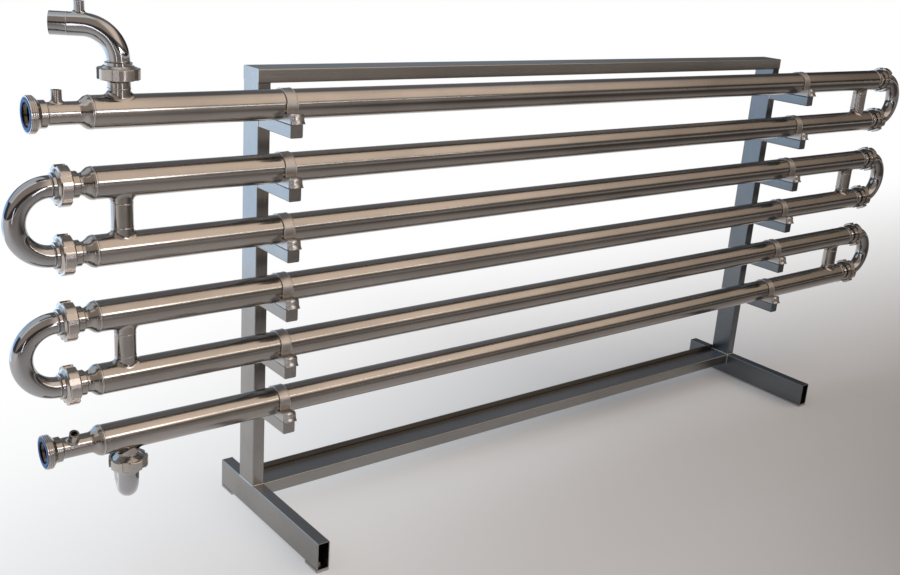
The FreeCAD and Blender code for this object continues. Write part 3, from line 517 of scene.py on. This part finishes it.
def add_strap_flanges():
    """Front flange of each strap, rolled over the arm's end and flared at its lip."""
    def build(mesh):
        for middle, height in CLAMPS:
            outer = [Vector((0, TUBE_Y + y, height + z)) for y, z in FLANGE_LINE]
            inner = []
            for index, point in enumerate(outer):
                run = outer[min(index + 1, len(outer) - 1)] - outer[max(index - 1, 0)]
                inner.append(point + FLANGE_THICK * run.cross(ALONG).normalized())
            outline = outer + inner[::-1]
            ends = []
            for way in (-1, 1):
                across = Vector((middle + way * FLANGE_HALF, 0, 0))
                ends.append([mesh.verts.new(point + across) for point in outline])
            left, right = ends
            for index in range(len(outline)):
                after = (index + 1) % len(outline)
                mesh.faces.new((left[index], left[after], right[after], right[index]))
            mesh.faces.new(left)
            mesh.faces.new(reversed(right))
        sharp = [edge for edge in mesh.edges if edge.calc_face_angle(0) > SHARP]
        bmesh.ops.bevel(mesh, geom=sharp, offset=FLANGE_EDGE, segments=2, affect="EDGES")

    add_piece("strap_flanges", build, FLANGE)


def arc(radius, start, end, steps):
    """Points (y, z) on an arc round the tube, from the front at 0 over the top."""
    turns = [start + (end - start) * step / steps for step in range(steps + 1)]
    return [(-radius * math.cos(turn), radius * math.sin(turn)) for turn in turns]


def add_clamp_edges():
    """Bright rods along the edges of the saddles and of the bands over the tubes: painted
    highlights.
    """
    def build(mesh):
        chance = random.Random(7)
        ledge = math.asin(SADDLE_LEDGE / SEAT)
        saddle = arc(SEAT, -math.pi / 2, ledge, SEAT_STEPS)
        saddle += [(SADDLE_FRONT, SADDLE_LEDGE), (SADDLE_FRONT, -ARM_TOP)]
        band = arc(BAND_TOP, *map(math.radians, BAND_TURN), BAND_STEPS)
        for middle, height in CLAMPS:
            for way in (-1, 1):
                for half, curve in ((SADDLE_HALF, saddle), (BAND_HALF, band)):
                    across = middle + way * half
                    path = [Vector((across, TUBE_Y + y, height + z)) for y, z in curve]
                    sweep(mesh, path, ALONG, EDGE_HIGHLIGHT_ROD, chance, closed=False)

    add_piece("clamp_edge_highlights", build, FLANGE)


add_pipe_welds()
add_port_details()
add_frame_welds()
add_strap_flanges()
add_clamp_edges()


# Floor, light and camera

def floor_material():
    """Pale floor that turns plain white behind the object and far away, with painted shade in a
    pool at the front right.
    """
    material = bpy.data.materials.new("pale_floor")
    tree = new_tree(material)
    place = node(tree, "TexCoord").outputs["Object"]

    def step(factor, start, full):
        """Smooth step of a factor from 0 to 1."""
        made = node(
            tree, "MapRange", interpolation_type="SMOOTHSTEP", From_Min=start, From_Max=full
        )
        tree.links.new(factor, made.inputs["Value"])
        return made.outputs["Result"]

    def beyond(region):
        """0 before a line on the floor, rising to 1 past it."""
        way, start, full = region
        return step(vector(tree, "DOT_PRODUCT", "Value", place, way), start, full)

    def pool(region):
        """1 in the middle of a round pool, falling to 0 at its edge."""
        centre, reach, core = region
        away = vector(tree, "SUBTRACT", "Vector", place, centre)
        away = vector(tree, "MULTIPLY", "Vector", away, (1 / reach[0], 1 / reach[1], 0))
        return step(vector(tree, "LENGTH", "Value", away), 1, core)

    shader = node(tree, "BsdfPrincipled", Roughness=0.9, Specular_IOR_Level=0.1)
    mottle = noise(tree, (2, 2, 2))
    tone = ramp(tree, mottle, [(0.2, shade(FLOOR_COLOUR, FLOOR_MOTTLE)), (0.8, FLOOR_COLOUR)])
    # Painted shade: the floor's colour is darkened in the pool at the front right
    left = (PAINTED_SHADE_SHARE, PAINTED_SHADE_SHARE, PAINTED_SHADE_SHARE, 1)
    painted_shade = node(tree, "Mix", data_type="RGBA", blend_type="MULTIPLY", B=left)
    tree.links.new(pool(PAINTED_SHADE_POOL), painted_shade.inputs["Factor"])
    tree.links.new(tone, painted_shade.inputs["A"])
    tree.links.new(painted_shade.outputs["Result"], shader.inputs["Base Color"])
    white = node(tree, "Emission", Color=(1, 1, 1, 1), Strength=1.0)
    path = node(tree, "LightPath")
    rays = [path.outputs["Is %s Ray" % kind] for kind in ("Camera", "Glossy", "Transmission")]
    seen = combine(tree, "MAXIMUM", *rays)
    far = span(tree, pool(NEAR_POOL), 1.0, 0.0)
    behind = combine(tree, "MAXIMUM", beyond(WHITE_BEHIND), beyond(WHITE_BEYOND), far)
    lit = span(tree, pool(GREY_POOL), 1.0, 0.0)
    share = combine(tree, "MULTIPLY", seen, behind, lit)
    surfaces = (shader.outputs["BSDF"], white.outputs["Emission"])
    blend = feed(tree, node(tree, "MixShader"), share, *surfaces)
    show(tree, blend.outputs["Shader"])
    return material


def add_floor():
    bpy.ops.mesh.primitive_circle_add(
        vertices=CIRCLE_POINTS, radius=FLOOR_RADIUS, fill_type="NGON"
    )
    floor = bpy.context.object
    floor.name = "floor"
    floor.data.materials.append(floor_material())


def add_world():
    """Warm ceiling in front, between dim walls and a dim sky at the back."""
    world = bpy.data.worlds.new("studio")
    bpy.context.scene.world = world
    tree = new_tree(world)
    direction = node(tree, "TexCoord").outputs["Generated"]
    split = feed(tree, node(tree, "SeparateXYZ"), direction).outputs
    ahead = maths(tree, "MULTIPLY", split["Y"], -1.0)
    height = maths(tree, "MAXIMUM", split["Z"], 0.0)
    angle = maths(tree, "DIVIDE", maths(tree, "ARCTAN2", height, ahead), math.pi)
    arch = ramp(tree, angle, [(degrees / 180, colour) for degrees, colour in SKY])
    fade = ramp(tree, maths(tree, "MULTIPLY_ADD", split["X"], 0.5, 0.5), SKY_FADE)
    mix = node(tree, "Mix", data_type="RGBA", blend_type="MULTIPLY", Factor=1.0)
    tree.links.new(arch, mix.inputs["A"])
    tree.links.new(fade, mix.inputs["B"])
    back = node(tree, "Background", Strength=SKY_STRENGTH)
    tree.links.new(mix.outputs["Result"], back.inputs["Color"])
    show(tree, back.outputs["Background"], "OutputWorld")


def add_lamp(name, place, aim, width, height, power, colour, mirrored):
    data = bpy.data.lights.new(name, "AREA")
    data.shape = "RECTANGLE"
    data.size = width
    data.size_y = height
    data.energy = power
    data.color = colour
    lamp = bpy.data.objects.new(name, data)
    lamp.location = place
    lamp.rotation_euler = (Vector(aim) - Vector(place)).to_track_quat("-Z", "Y").to_euler()
    lamp.visible_camera = False
    lamp.visible_glossy = mirrored
    bpy.context.scene.collection.objects.link(lamp)


def add_camera():
    data = bpy.data.cameras.new("camera")
    data.sensor_width = SENSOR_WIDTH
    data.lens = SENSOR_WIDTH * FOCAL_PIXELS / PICTURE_WIDTH
    data.clip_end = CAMERA_REACH
    camera = bpy.data.objects.new("camera", data)
    yaw = math.radians(CAMERA_YAW)
    pitch = math.radians(CAMERA_PITCH)
    roll = math.radians(CAMERA_ROLL)
    ahead = Vector((
        math.sin(yaw) * math.cos(pitch), math.cos(yaw) * math.cos(pitch), -math.sin(pitch)
    ))
    level = Vector((math.cos(yaw), -math.sin(yaw), 0))
    upright = level.cross(ahead)
    right = math.cos(roll) * level + math.sin(roll) * upright
    up = -math.sin(roll) * level + math.cos(roll) * upright
    turn = Matrix((right, up, -ahead)).transposed()
    camera.matrix_world = Matrix.Translation(CAMERA_PLACE) @ turn.to_4x4()
    bpy.context.scene.collection.objects.link(camera)
    bpy.context.scene.camera = camera


add_floor()
add_world()
for name, settings in LAMPS.items():
    add_lamp(name, *settings)
add_camera()
bpy.context.scene.view_settings.view_transform = "Standard"
